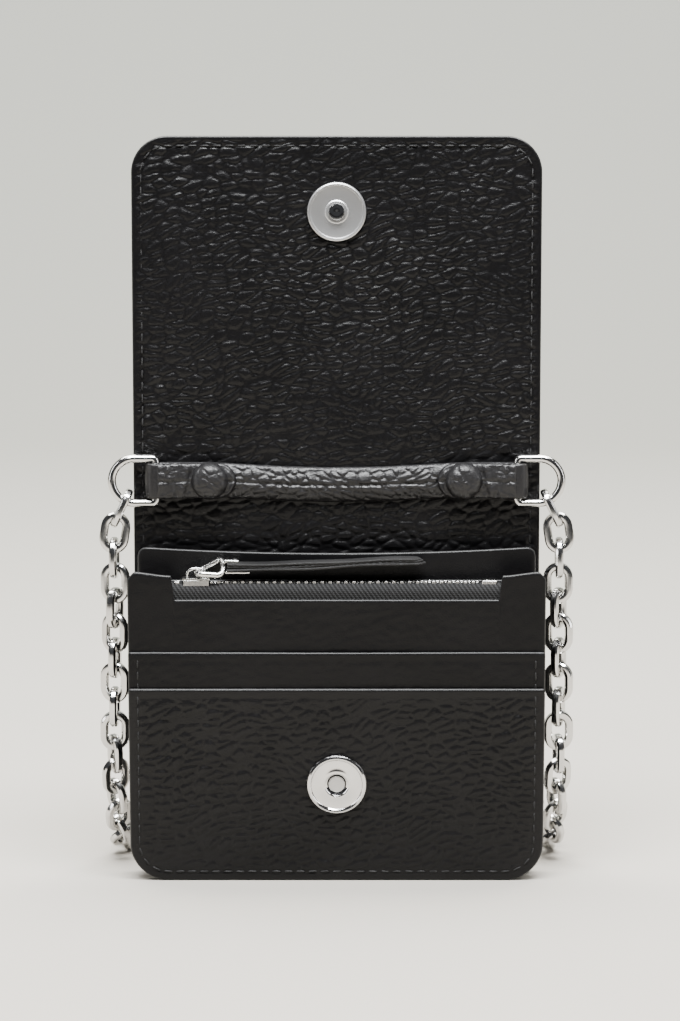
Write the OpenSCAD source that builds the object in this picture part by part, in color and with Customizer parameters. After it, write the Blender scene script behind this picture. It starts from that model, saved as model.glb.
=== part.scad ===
// Small leather chain wallet, standing open on its base: flap up, zip pocket and card slots in front,
// two D-rings on a strap band, and a long metal chain whose spare length lies folded and tied behind.
// Millimetres. X is across, -Y is the front, +Z is up. The origin is the middle of the base strip.
// Depths are counted from the outer face of the back panel towards the front.

/* [Panels] */
// Width of the back panel, spine and flap
flap_w = 110.8; // [106:0.2:112]
// Width of the front panels
front_w = 113; // [112:0.5:116]
// Height of the first fold, where the back panel turns into the spine
fold_low = 95.6; // [95.2:0.1:96.4]
// Height of the second fold, where the spine turns into the flap
fold_high = 114.9; // [114.7:0.1:115.6]
// Height of the flap's free edge when the wallet stands open
flap_top = 202.7; // [198:0.1:204]
// Corner radius of the flap and of the panels' bottom corners
corner_r = 9.8; // [6:0.2:12]
// Depth of the front panel's face at the base
base_depth = 12; // [12:0.1:13]
// Forward lean of the front panels, in degrees
front_lean = 4.6; // [4:0.1:5]

/* [Front] */
// Height of the front wall's ears at both ends of the zip
ear_top = 86.8; // [85:0.2:87]
// Height of the lower edge of the zip notch
notch_z = 79; // [77:0.2:79.4]
// Half width of the zip notch
notch_half = 44; // [43:0.5:45]
// Height of the upper card slot's edge
slot_upper_z = 64.5; // [60:0.5:68]
// Height of the front pocket's edge
slot_lower_z = 54.5; // [48:0.5:58]
// Height of the divider's edge
divider_top = 92; // [90:0.5:92]

/* [Hardware] */
// Height of the magnetic snap on the front, along the leaning panel
snap_z = 28.2; // [27.6:0.1:28.8]
// Diameter of the magnetic snap's front half
snap_female_d = 16.4; // [15:0.1:17]
// Diameter of the magnetic snap's flap half
snap_male_d = 16; // [15:0.1:17]
// Thickness of the D-ring's wire
ring_wire = 2.3; // [2:0.1:2.4]
// Distance from the middle to the D-ring's bar
ring_bar_x = 49.2; // [48.8:0.1:49.6]
// Distance from the middle to a press stud
stud_x = 34.5; // [33:0.5:36]
// Pitch of the zip's teeth
tooth_pitch = 2.15; // [2:0.05:2.4]

/* [Chain] */
// Outer diameter of the chain
chain_d = 7.5; // [7:0.1:7.5]
// Wire of a chain link
link_wire = 2.4; // [2.2:0.1:2.4]
// Outer length of a chain link
link_len = 11.7; // [11.4:0.1:11.8]
// Outer width of a chain link
link_w = 8.3; // [8:0.1:8.3]
// Half length of the straight runs in the folded spare chain
hank_half = 37.5; // [36:0.5:38]

/* [Hidden] */
$fn = 64;
eps = 0.01;

// The back panel's outer face
back_y = 5.5;
outer_t = 1.3;
lining_t = 0.9;
skin_t = outer_t + lining_t;
fold_gap = 0.2;
panel_t = 1.2;
slot_t = 0.9;
wall_t = 1;
ply_gap = 0.05;

slot_depth = base_depth - panel_t - ply_gap;
wall_depth = slot_depth - slot_t - ply_gap;
inner_depth = wall_depth - wall_t;
front_start = 0.1;

gusset_half = 55.3;
gusset_t = 1;
gusset_top = 84;
inner_half = gusset_half - gusset_t - 0.2;
floor_clear = gusset_t + 0.1;

divider_depth = 6.8;
divider_lean = 0.87;
coin_depth = 7.9;
coin_lean = 1.36;
coin_top = 83.2;

// The zip lies between the front wall and the coin pocket's back
zip_depth = 12.4;
zip_z = 82.3;
zip_half = 43.5;
tape_t = 0.45;
tape_low = 76;
// Depths at which the tapes' strips bend out to the teeth
tape_front_depth = 15.1;
tape_rear_depth = coin_depth + 1.96;
tooth_h = 2;
tooth_w = 1;
tooth_reach = 0.35;
tooth_len = 1.25;
teeth_start = -34;
teeth_count = 34;
stop_x = 39.2;
stop_len = 4.2;
stop_size = [stop_len, 3, 2.4];
top_stop_x = teeth_start - 9.2;
top_stop_size = [1.6, 0.9, 1.8];
slider_x = -38;
slider_len = 8;
slider_w = 4.7;
plate_t = 0.8;
slider_top = zip_z + tooth_h / 2 + 0.2;
flange_t = 0.4;
lower_plate_w = 3.8;
bail_len = 5.8;
bail_h = 2.8;
bail_w = 1.6;
bail_t = 0.7;
pull_z = slider_top + plate_t + 1.1;
pull_wire = 0.85;
pull_half = 2.9;
// The eye is turned a little about its length at the prongs
eye_tilt = 40;
prong_w = 2.4;
prong_t = 0.8;
prong_short = 4.4;
prong_long = 7.4;
rivet_r = 0.8;
rivet_t = 0.3;
pull_end_x = -30.5;
strip_start = -29.6;
strip_end = 24;
strip_w = 5;
strip_t = 2.2;
strip_z = 87.2;
strip_slope = 1.6;

// The strap band across the spine and its tabs
band_t = 1.4;
band_w = 9.6;
band_z = 109.7;
band_depth = skin_t + band_t;
bar_depth = band_depth + 0.1 + ring_wire / 2;
loop_in = ring_wire / 2 + 0.1;
loop_out = loop_in + band_t;
tab_depth = bar_depth + loop_in;
crease_x = 46;
tab_drop = 1.4;
tab_low = tab_depth - tab_drop;
tab_end_x = 27.3;
cap_d = 10;
cap_h = 3.5;
stud_r = 1.7;
stud_h = 1;
socket_r = 4;
socket_t = 0.7;
ring_r = 6.1;
ring_reach = 5.8;

snap_female_t = 1.5;
snap_wall = 0.5;
snap_sink = 1.2;
snap_hole_r = 3.1;
magnet_hole_r = 3.6;
magnet_t = 1;
button_r = 2.3;
button_t = 0.25;
snap_male_t = 1.4;
male_stud_r = 2.2;
male_stud_h = 0.9;
snap_male_z = 182.4;
backplate_t = 0.4;
backplate_r = 6;

// The ring hangs down in its loop, and its link hangs a little outside the arc's centre, square to the wire
ring_z = band_z - 0.15;
hook_angle = 65;
hook_tilt = 90 - hook_angle;
hook_play = 0.1;
hook_x = ring_bar_x + ring_reach + ring_r * cos(hook_angle);
hook_z = ring_z - ring_r * sin(hook_angle);

// The chain's route: down beside the wallet, back along the ground and into the hank
hank_y = 56;
hank_bend = 12.5;
hank_r = hank_bend + chain_d;
tie_w = 6;
tie_t = 0.8;
chain_route = [[60.4, 0.6, 84], [60.6, 0.8, 72], [60.8, 1.4, 58], [61, 2.6, 44], [61.2, 5.4, 30],
    [61, 10.6, 17.6], [60.6, 18, 8.6], [59.8, 27, 4.4], [58.6, 36, 3.8], [56.6, 46, 3.8],
    [53.8, 56, 3.8]];
tube_sides = 10;

leather = "#1b1a1b";
lining = "#242324";
metal = "#c9cbcd";
satin = "#9b9da0";
tape = "#151515";

function face(depth) = back_y - depth;

// A flat panel with round bottom corners, drawn in width and height
module pocket_outline(w, z0, z1, r = corner_r) {
    translate([-w / 2 + r, z0]) square([w - 2 * r, z1 - z0]);
    translate([-w / 2, z0 + r]) square([w, z1 - z0 - r]);
    for (s = [-1, 1]) translate([s * (w / 2 - r), z0 + r]) circle(r);
}

// Stands an outline up as a sheet between two depths
module sheet(d0, d1) {
    translate([0, face(d0), 0]) rotate([90, 0, 0]) linear_extrude(d1 - d0) children();
}

// The same, leaning forwards about its back edge on the base
module leaned(depth, lean) {
    translate([0, face(depth), 0]) rotate([lean, 0, 0]) children();
}

module leaned_sheet(depth, t, lean) {
    leaned(depth, lean) rotate([90, 0, 0]) linear_extrude(t) children();
}

// A disc or ring whose axis points to the front
module front_disc(x, z, d0, d1, r) {
    translate([x, face(d0), z]) rotate([90, 0, 0]) cylinder(h = d1 - d0, r = r);
}

// A straight round rod between two points
module rod(a, b, r) {
    v = b - a;
    translate(a) rotate([0, acos(v[2] / norm(v)), atan2(v[1], v[0])]) cylinder(h = norm(v), r = r, $fn = 32);
}

module both(side) {
    mirror([side < 0 ? 1 : 0, 0, 0]) children();
}

module back_panel_outer() {
    color(leather) sheet(0, outer_t) pocket_outline(flap_w, 0, fold_low - fold_gap);
}

module back_panel_lining() {
    color(lining) sheet(outer_t, skin_t) pocket_outline(flap_w, 0.2, fold_low - fold_gap);
}

// One strip of leather down one side, under the base and up the other side
module gusset_strip() {
    reach = 20;
    front_cut = [140, 30, 120];
    color(leather) difference() {
        sheet(skin_t, reach) difference() {
            pocket_outline(2 * gusset_half, 0, gusset_top);
            pocket_outline(2 * (gusset_half - gusset_t), gusset_t, gusset_top + 1, corner_r - gusset_t);
        }
        leaned(inner_depth, front_lean) translate([-front_cut[0] / 2, -front_cut[1], -10]) cube(front_cut);
    }
}

module divider_panel() {
    r = 2.5;
    color(leather) leaned_sheet(divider_depth - wall_t, wall_t, divider_lean) {
        pocket_outline(2 * inner_half, floor_clear, divider_top - r);
        translate([-inner_half + r, divider_top - 2 * r]) square([2 * (inner_half - r), 2 * r]);
        for (s = [-1, 1]) translate([s * (inner_half - r), divider_top - r]) circle(r);
    }
}

module coin_pocket_back() {
    color(lining) leaned_sheet(coin_depth - slot_t, slot_t, coin_lean)
        pocket_outline(2 * inner_half, floor_clear, coin_top);
}

// The wall behind the card slots, cut down between two ears for the zip
module front_wall() {
    ear_low = ear_top - 1.6;
    color(leather) leaned_sheet(inner_depth, wall_t, front_lean) {
        pocket_outline(front_w, front_start, notch_z, corner_r + 0.7);
        for (s = [-1, 1]) mirror([s < 0 ? 1 : 0, 0])
            polygon([[notch_half, notch_z - 1], [front_w / 2, notch_z - 1], [front_w / 2, ear_top - 1],
                [front_w / 2 - 1, ear_top], [front_w / 2 - 5, ear_top], [notch_half + 0.8, ear_low],
                [notch_half, ear_low - 0.8]]);
    }
}

module card_slot_panel() {
    color(leather) leaned_sheet(wall_depth + ply_gap, slot_t, front_lean)
        pocket_outline(front_w, front_start, slot_upper_z, corner_r + 0.7);
}

module front_pocket_panel() {
    color(leather) difference() {
        leaned_sheet(slot_depth + ply_gap, panel_t, front_lean)
            pocket_outline(front_w, front_start, slot_lower_z, corner_r + 0.7);
        leaned(slot_depth, front_lean) translate([0, -backplate_t - 2 * ply_gap, snap_z])
            rotate([-90, 0, 0]) cylinder(h = 1, r = backplate_r + 0.1);
    }
}

// Each tape is bent: a strip against its wall and a strip out to the teeth
module zip_tape_front() {
    teeth_edge = face(zip_depth) - tooth_reach - tooth_len / 2;
    color(tape) {
        leaned(inner_depth - tape_t - ply_gap, front_lean) translate([-zip_half - 2, -tape_t, tape_low])
            cube([2 * zip_half + 4, tape_t, zip_z - tape_low + 0.2]);
        translate([-zip_half, face(tape_front_depth), zip_z - tape_t / 2])
            cube([2 * zip_half, teeth_edge - face(tape_front_depth), tape_t]);
    }
}

module zip_tape_rear() {
    teeth_edge = face(zip_depth) + tooth_reach + tooth_len / 2;
    color(tape) {
        leaned(coin_depth + ply_gap, coin_lean) translate([-zip_half - 2, -tape_t, tape_low])
            cube([2 * zip_half + 4, tape_t, zip_z - tape_low]);
        translate([-zip_half, teeth_edge, zip_z - tape_t / 2])
            cube([2 * zip_half, face(tape_rear_depth) - tape_t / 2 - teeth_edge, tape_t]);
    }
}

// A row of teeth; the two rows stand half a pitch apart and reach past each other
module teeth(side) {
    for (i = [0:teeth_count - 1])
        translate([teeth_start + (i + (side > 0 ? 0.5 : 0)) * tooth_pitch,
            face(zip_depth) + side * tooth_reach, zip_z])
            cube([tooth_w, tooth_len, tooth_h], center = true);
}

module zip_teeth_front() {
    color(metal) teeth(-1);
}

module zip_teeth_rear() {
    color(metal) teeth(1);
}

module zip_bottom_stop() {
    color(metal) translate([stop_x, face(zip_depth) - stop_size[1] / 2, zip_z - 1.1]) cube(stop_size);
}

// Small clips on the tape's edges at the closed end
module zip_top_stops() {
    color(metal) for (s = [-1, 1])
        translate([top_stop_x, face(zip_depth) + s * 0.95, zip_z])
            cube(top_stop_size, center = true);
}

// Top and bottom plates with short flanges; the teeth run between them
module zip_slider() {
    color(metal) translate([slider_x, face(zip_depth), 0]) {
        translate([-slider_len / 2, -slider_w / 2, slider_top]) cube([slider_len, slider_w, plate_t]);
        for (s = [-1, 1]) translate([-slider_len / 2, s * (slider_w - flange_t) / 2 - flange_t / 2, zip_z + 0.5])
            cube([slider_len, flange_t, slider_top - zip_z]);
        translate([-slider_len / 2, -lower_plate_w / 2, zip_z - tooth_h / 2 - 0.2 - plate_t])
            cube([slider_len, lower_plate_w, plate_t]);
    }
}

// The bridge on the slider that holds the pull
module slider_bail() {
    low = slider_top + plate_t;
    color(metal) translate([slider_x, face(zip_depth), low]) difference() {
        translate([-bail_len / 2, -bail_w / 2, 0]) cube([bail_len, bail_w, bail_h]);
        translate([-bail_len / 2 + bail_t, -bail_w, -1])
            cube([bail_len - 2 * bail_t, 2 * bail_w, bail_h + 1 - bail_t]);
    }
}

// A long eye with its bar under the bail, ending in two prongs that grip the leather
module zip_pull_link() {
    y = face(zip_depth);
    near = [slider_x, y, pull_z];
    far = [pull_end_x, y, strip_z];
    near_side = [0, pull_half, 0];
    far_side = pull_half * [0, cos(eye_tilt), sin(eye_tilt)];
    color(metal) {
        rod(near - near_side, near + near_side, pull_wire);
        rod(far - far_side, far + far_side, pull_wire);
        for (s = [-1, 1]) {
            rod(near + s * near_side, far + s * far_side, pull_wire);
            translate(near + s * near_side) sphere(r = pull_wire, $fn = 32);
            translate(far + s * far_side) sphere(r = pull_wire, $fn = 32);
            translate([pull_end_x - 0.5, y - prong_w / 2, strip_z + s * (strip_t + prong_t) / 2 - prong_t / 2])
                cube([s > 0 ? prong_short : prong_long, prong_w, prong_t]);
        }
        translate([pull_end_x - 0.5, y - prong_w / 2, strip_z - strip_t / 2 - prong_t / 2])
            cube([prong_t, prong_w, strip_t + prong_t]);
    }
}

// Two layers of leather as long as the zip pull needs, rising a little to its free end
module puller_strip() {
    run = strip_end - strip_start;
    color(leather) translate([0, face(zip_depth) - strip_w / 2, 0]) rotate([90, 0, 0]) mirror([0, 0, 1])
        linear_extrude(strip_w) polygon([[strip_start, strip_z - strip_t / 2],
            [strip_start + 9, strip_z - strip_t / 2], [strip_end, strip_z + strip_slope - strip_t / 2],
            [strip_end, strip_z + strip_slope + strip_t / 2], [strip_start + 9, strip_z + strip_t / 2],
            [strip_start, strip_z + strip_t / 2]]);
}

// The heads of the rivet that goes through both prongs and the strip
module puller_rivet() {
    color(metal) for (s = [-1, 1])
        translate([strip_start + 2, face(zip_depth), strip_z + s * (strip_t / 2 + prong_t + rivet_t / 2)])
            cylinder(h = rivet_t, r = rivet_r, center = true);
}

// Puts a disc on the front panel's face, with its axis to the front
module on_front() {
    leaned(slot_depth + ply_gap, front_lean) translate([0, -panel_t, snap_z]) rotate([90, 0, 0]) children();
}

module snap_female_cover() {
    r = snap_female_d / 2;
    color(metal) on_front()
        difference() {
            cylinder(h = snap_female_t, r = r);
            translate([0, 0, snap_female_t - snap_sink]) cylinder(h = 2, r = snap_hole_r);
            translate([0, 0, -eps]) difference() {
                cylinder(h = magnet_t + 0.1 + eps, r = r - snap_wall);
                translate([0, 0, -1]) cylinder(h = 3, r = magnet_hole_r);
            }
        }
}

module snap_female_magnet() {
    color(satin) on_front()
        difference() {
            cylinder(h = magnet_t, r = snap_female_d / 2 - snap_wall - ply_gap);
            translate([0, 0, -1]) cylinder(h = 3, r = magnet_hole_r + ply_gap);
        }
}

module snap_female_button() {
    color(satin) on_front() translate([0, 0, snap_female_t - snap_sink]) cylinder(h = button_t, r = button_r);
}

module snap_female_backplate() {
    color(satin) leaned(slot_depth + ply_gap, front_lean) translate([0, 0, snap_z])
        rotate([90, 0, 0]) cylinder(h = backplate_t, r = backplate_r);
}

module spine_sheet(d0, d1) {
    low = fold_low + fold_gap;
    sheet(d0, d1) translate([-flap_w / 2, low]) square([flap_w, fold_high - fold_gap - low]);
}

module spine_outer() {
    color(leather) spine_sheet(0, outer_t);
}

module spine_lining() {
    color(lining) spine_sheet(outer_t, skin_t);
}

module strap_band() {
    color(leather) sheet(skin_t, band_depth) translate([-ring_bar_x, band_z - band_w / 2])
        square([2 * ring_bar_x, band_w]);
}

// The end of the strap round the ring's bar, up to the crease where its tab bends
module strap_loop(side) {
    color(leather) both(side) translate([0, 0, band_z - band_w / 2]) linear_extrude(band_w) {
        translate([ring_bar_x, face(bar_depth)]) difference() {
            circle(loop_out);
            circle(loop_in);
            translate([-2 * loop_out, -loop_out * 2]) square([2 * loop_out, loop_out * 4]);
        }
        translate([crease_x + fold_gap, face(tab_depth + band_t)])
            square([ring_bar_x - crease_x - fold_gap + eps, band_t]);
    }
}

module strap_loop_left() {
    strap_loop(-1);
}

module strap_loop_right() {
    strap_loop(1);
}

module press_stud(side) {
    color(metal) front_disc(side * stud_x, band_z, band_depth, band_depth + stud_h, stud_r);
}

module press_stud_left() {
    press_stud(-1);
}

module press_stud_right() {
    press_stud(1);
}

module flap_outline() {
    low = fold_high + fold_gap;
    translate([0, flap_top]) mirror([0, 1]) pocket_outline(flap_w, 0, flap_top - low);
}

module flap_outer() {
    color(leather) difference() {
        sheet(0, outer_t) flap_outline();
        front_disc(0, snap_male_z, outer_t - backplate_t - 0.1, outer_t + 1, backplate_r + 0.1);
    }
}

module flap_lining() {
    color(lining) sheet(outer_t, skin_t) flap_outline();
}

module snap_male_plate() {
    color(satin) front_disc(0, snap_male_z, skin_t, skin_t + snap_male_t, snap_male_d / 2);
}

module snap_male_stud() {
    low = skin_t + snap_male_t;
    color(metal) front_disc(0, snap_male_z, low, low + male_stud_h, male_stud_r);
}

module snap_male_backplate() {
    color(satin) front_disc(0, snap_male_z, outer_t - backplate_t, outer_t, backplate_r);
}

// The strap's tab, from the crease to its round end, dropping towards the press stud
module strap_tab(side) {
    color(leather) both(side) intersection() {
        translate([0, 0, band_z - band_w / 2]) linear_extrude(band_w) polygon([
            [crease_x - fold_gap, face(tab_depth)], [crease_x - fold_gap, face(tab_depth + band_t)],
            [stud_x + 4.5, face(tab_low + band_t)], [tab_end_x, face(tab_low + band_t)],
            [tab_end_x, face(tab_low)], [stud_x + 4.5, face(tab_low)]]);
        sheet(0, 20) {
            translate([tab_end_x + band_w / 2, band_z - band_w / 2]) square([20, band_w]);
            translate([tab_end_x + band_w / 2, band_z]) circle(band_w / 2);
        }
    }
}

module strap_tab_left() {
    strap_tab(-1);
}

module strap_tab_right() {
    strap_tab(1);
}

module press_socket(side) {
    color(metal) difference() {
        front_disc(side * stud_x, band_z, tab_low - socket_t, tab_low, socket_r);
        front_disc(side * stud_x, band_z, tab_low - 1, tab_low + 1, socket_r / 2);
    }
}

module press_socket_left() {
    press_socket(-1);
}

module press_socket_right() {
    press_socket(1);
}

// A leather-covered dome: a short drum under part of a ball
module press_cap(side) {
    drum = 1;
    dome = cap_h - drum;
    ball = (pow(cap_d / 2, 2) + pow(dome, 2)) / (2 * dome);
    low = tab_low + band_t;
    color(leather) {
        front_disc(side * stud_x, band_z, low, low + drum, cap_d / 2);
        intersection() {
            translate([side * stud_x, face(low + drum + dome - ball), band_z]) sphere(r = ball);
            front_disc(side * stud_x, band_z, low + drum - eps, low + cap_h + 1, cap_d / 2);
        }
    }
}

module press_cap_left() {
    press_cap(-1);
}

module press_cap_right() {
    press_cap(1);
}

// A D of round wire: straight bar in the strap's loop, arc outside
module d_ring(side) {
    r = ring_wire / 2;
    y = face(bar_depth);
    arc_x = ring_bar_x + ring_reach;
    color(metal) both(side) {
        rod([ring_bar_x, y, ring_z - ring_r], [ring_bar_x, y, ring_z + ring_r], r);
        for (s = [-1, 1]) {
            translate([ring_bar_x, y, ring_z + s * ring_r]) sphere(r = r, $fn = 32);
            rod([ring_bar_x, y, ring_z + s * ring_r], [arc_x, y, ring_z + s * ring_r], r);
        }
        translate([arc_x, y, ring_z]) rotate([90, 0, 0]) rotate([0, 0, -90])
            rotate_extrude(angle = 180) translate([ring_r, 0]) circle(r, $fn = 32);
    }
}

module d_ring_left() {
    d_ring(-1);
}

module d_ring_right() {
    d_ring(1);
}

// One oval link, standing square to the ring's wire where it hooks
module joining_link(side) {
    r = link_wire / 2;
    half = link_w / 2 - r;
    straight = link_len - link_w;
    top = ring_wire / 2 + r + hook_play - half;
    color(metal) translate([side * hook_x, face(bar_depth), hook_z]) rotate([0, -side * hook_tilt, 0])
        translate([0, 0, top]) {
            for (s = [-1, 1]) translate([0, s * half, -straight]) cylinder(h = straight, r = r, $fn = 32);
            for (end = [0, 1]) translate([0, 0, -end * straight]) rotate([0, 90, 0]) rotate([0, 0, end * 180 + 90])
                rotate_extrude(angle = 180) translate([half, 0]) circle(r, $fn = 32);
        }
}

module joining_link_left() {
    joining_link(-1);
}

module joining_link_right() {
    joining_link(1);
}

// A round tube swept through a route's points
function unit(v) = v / norm(v);
function heading(p, i) = unit(p[min(i + 1, len(p) - 1)] - p[max(i - 1, 0)]);
function ring_at(c, t, r) = let (u = unit(cross(t, [1, 0, 0])), v = cross(t, u))
    [for (k = [0:tube_sides - 1]) let (a = 360 * k / tube_sides) c + r * (cos(a) * u + sin(a) * v)];

module tube(p, r) {
    n = len(p);
    points = [for (i = [0:n - 1]) each ring_at(p[i], heading(p, i), r)];
    sides = [for (i = [0:n - 2], k = [0:tube_sides - 1])
        let (a = i * tube_sides + k, b = i * tube_sides + (k + 1) % tube_sides)
        [a, b, b + tube_sides, a + tube_sides]];
    start = [for (k = [0:tube_sides - 1]) tube_sides - 1 - k];
    finish = [for (k = [0:tube_sides - 1]) (n - 1) * tube_sides + k];
    polyhedron(concat(points), concat(sides, [start], [finish]));
}

module chain_run(side) {
    color(metal) both(side) tube(chain_route, chain_d / 2);
}

module chain_run_left() {
    chain_run(-1);
}

module chain_run_right() {
    chain_run(1);
}

// The outer shape of the folded spare chain, two turns wide and two high, thinner under its tie
module chain_hank() {
    color(metal) difference() {
        translate([0, hank_y, 0]) linear_extrude(2 * chain_d) {
            square([2 * hank_half, 2 * hank_r], center = true);
            for (a = [-1, 1]) translate([a * hank_half, 0]) circle(hank_r);
        }
        translate([-tie_w / 2 - ply_gap, hank_y - hank_r - 1, -1])
            cube([tie_w + 2 * ply_gap, 2 * hank_r + 2, 1 + tie_t + ply_gap]);
    }
}

// The strap round the folded chain; it lies under the hank and over it
module chain_tie() {
    inner = [2 * (hank_r + ply_gap), 2 * chain_d - tie_t];
    color(leather) translate([tie_w / 2, hank_y, tie_t]) rotate([90, 0, -90]) linear_extrude(tie_w)
        difference() {
            translate([-inner[0] / 2 - tie_t, -tie_t]) square([inner[0] + 2 * tie_t, inner[1] + 2 * tie_t + ply_gap]);
            translate([-inner[0] / 2, 0]) square([inner[0], inner[1] + ply_gap]);
        }
}

back_panel_outer();
back_panel_lining();
gusset_strip();
divider_panel();
coin_pocket_back();
front_wall();
card_slot_panel();
front_pocket_panel();
zip_tape_front();
zip_tape_rear();
zip_teeth_front();
zip_teeth_rear();
zip_bottom_stop();
zip_top_stops();
zip_slider();
slider_bail();
zip_pull_link();
puller_strip();
puller_rivet();
snap_female_cover();
snap_female_magnet();
snap_female_button();
snap_female_backplate();
spine_outer();
spine_lining();
strap_band();
strap_loop_left();
strap_loop_right();
press_stud_left();
press_stud_right();
flap_outer();
flap_lining();
snap_male_plate();
snap_male_stud();
snap_male_backplate();
strap_tab_left();
strap_tab_right();
press_socket_left();
press_socket_right();
press_cap_left();
press_cap_right();
d_ring_left();
d_ring_right();
joining_link_left();
joining_link_right();
chain_run_left();
chain_run_right();
chain_hank();
chain_tie();
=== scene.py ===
import math

import bpy
import numpy as np
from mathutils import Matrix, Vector


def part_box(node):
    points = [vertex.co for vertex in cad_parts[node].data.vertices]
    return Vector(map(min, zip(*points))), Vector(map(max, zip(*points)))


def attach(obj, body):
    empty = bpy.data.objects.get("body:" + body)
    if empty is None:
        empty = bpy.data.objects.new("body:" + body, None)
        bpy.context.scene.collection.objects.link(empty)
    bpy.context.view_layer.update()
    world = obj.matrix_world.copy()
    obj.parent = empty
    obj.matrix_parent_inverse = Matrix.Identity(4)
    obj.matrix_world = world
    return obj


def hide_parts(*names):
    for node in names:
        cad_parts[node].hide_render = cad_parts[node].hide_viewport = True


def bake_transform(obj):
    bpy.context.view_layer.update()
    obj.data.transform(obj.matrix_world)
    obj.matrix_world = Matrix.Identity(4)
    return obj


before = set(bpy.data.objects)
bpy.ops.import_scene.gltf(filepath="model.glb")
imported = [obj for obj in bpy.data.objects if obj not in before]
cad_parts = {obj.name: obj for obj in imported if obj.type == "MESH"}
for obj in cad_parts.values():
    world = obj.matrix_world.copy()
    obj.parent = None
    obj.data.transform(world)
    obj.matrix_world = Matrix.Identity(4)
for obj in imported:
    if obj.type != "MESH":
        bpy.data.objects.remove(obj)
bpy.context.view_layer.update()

# Everything below is worked out in millimetres and turned into metres when a mesh is made.
MM = 0.001
rng = np.random.default_rng(7)


def box(node):
    low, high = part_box(node)
    return np.array(low) / MM, np.array(high) / MM


# ---------------------------------------------------------------- the frame's own sizes
OUTER_Y = box("back_panel_outer")[1][1]
lining_low, lining_high = box("back_panel_lining")
MID_Y = lining_high[1]
INNER_Y = lining_low[1]
flap_low, flap_high = box("flap_lining")
FLAP_HALF = flap_high[0]
FLAP_TOP = flap_high[2]
FOLD_GAP = 0.2
FOLD_LOW = box("spine_lining")[0][2] - FOLD_GAP
FOLD_HIGH = flap_low[2] - FOLD_GAP
SEAM_Z = (FOLD_LOW + FOLD_HIGH) / 2 + 0.6
FRONT_HALF = box("front_wall")[1][0]
band_low, band_high = box("strap_band")
ring_low, ring_high = box("d_ring_right")
RING_WIRE = ring_high[1] - ring_low[1]
BAR_X = ring_low[0] + RING_WIRE / 2
BAR_Y = (ring_low[1] + ring_high[1]) / 2
link_low, link_high = box("joining_link_right")
teeth_low, teeth_high = box("zip_teeth_front")
slider_low, slider_high = box("zip_slider")
ZIP_Y = (slider_low[1] + slider_high[1]) / 2

# Repeated from the part's source: the corners, the leaning panels' back faces at the base, their leans
# and thicknesses, the snap's height along its panel and depth, and the zip's teeth
CORNER_R = 9.8
FRONT_CORNER_R = CORNER_R + 0.7
FRONT_LEAN = 4.6
DIVIDER_LEAN, DIVIDER_BACK, DIVIDER_T = 0.87, -0.3, 1.0
COIN_LEAN, COIN_BACK, COIN_T = 1.36, -1.5, 0.9
WALL_BACK, WALL_T = -3.3, 1.0
SLOT_BACK, SLOT_T = -4.35, 0.9
POCKET_BACK, PANEL_T = -5.3, 1.2
GUSSET_T = 1.0
SNAP_Z, SNAP_DEPTH = 28.2, 6.5
STRAP_T = 1.4
TOOTH_COUNT, TOOTH_PITCH, TOOTH_W, TOOTH_H = 34, 2.15, 1.0, 2.0
NOTCH_Z, EAR_TOP, NOTCH_HALF = 79.0, 86.8, 44.0


# ---------------------------------------------------------------- camera and light
def camera():
    pitch = math.radians(7.9)
    data = bpy.data.cameras.new("camera")
    data.lens = 117.8
    data.sensor_width = 36
    data.clip_start, data.clip_end = 0.05, 20
    obj = bpy.data.objects.new("camera", data)
    obj.location = (0.0009, -0.9, 0.2264)
    obj.rotation_euler = (math.pi / 2 - pitch, 0, 0)
    bpy.context.scene.collection.objects.link(obj)
    bpy.context.scene.camera = obj


def area_light(name, place, target, size, power, tint=(1, 1, 1)):
    data = bpy.data.lights.new(name, "AREA")
    data.shape = "RECTANGLE"
    data.size, data.size_y = size
    data.energy = power
    data.color = tint
    obj = bpy.data.objects.new(name, data)
    obj.location = place
    obj.rotation_euler = (Vector(target) - Vector(place)).to_track_quat("-Z", "Y").to_euler()
    bpy.context.scene.collection.objects.link(obj)


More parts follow.
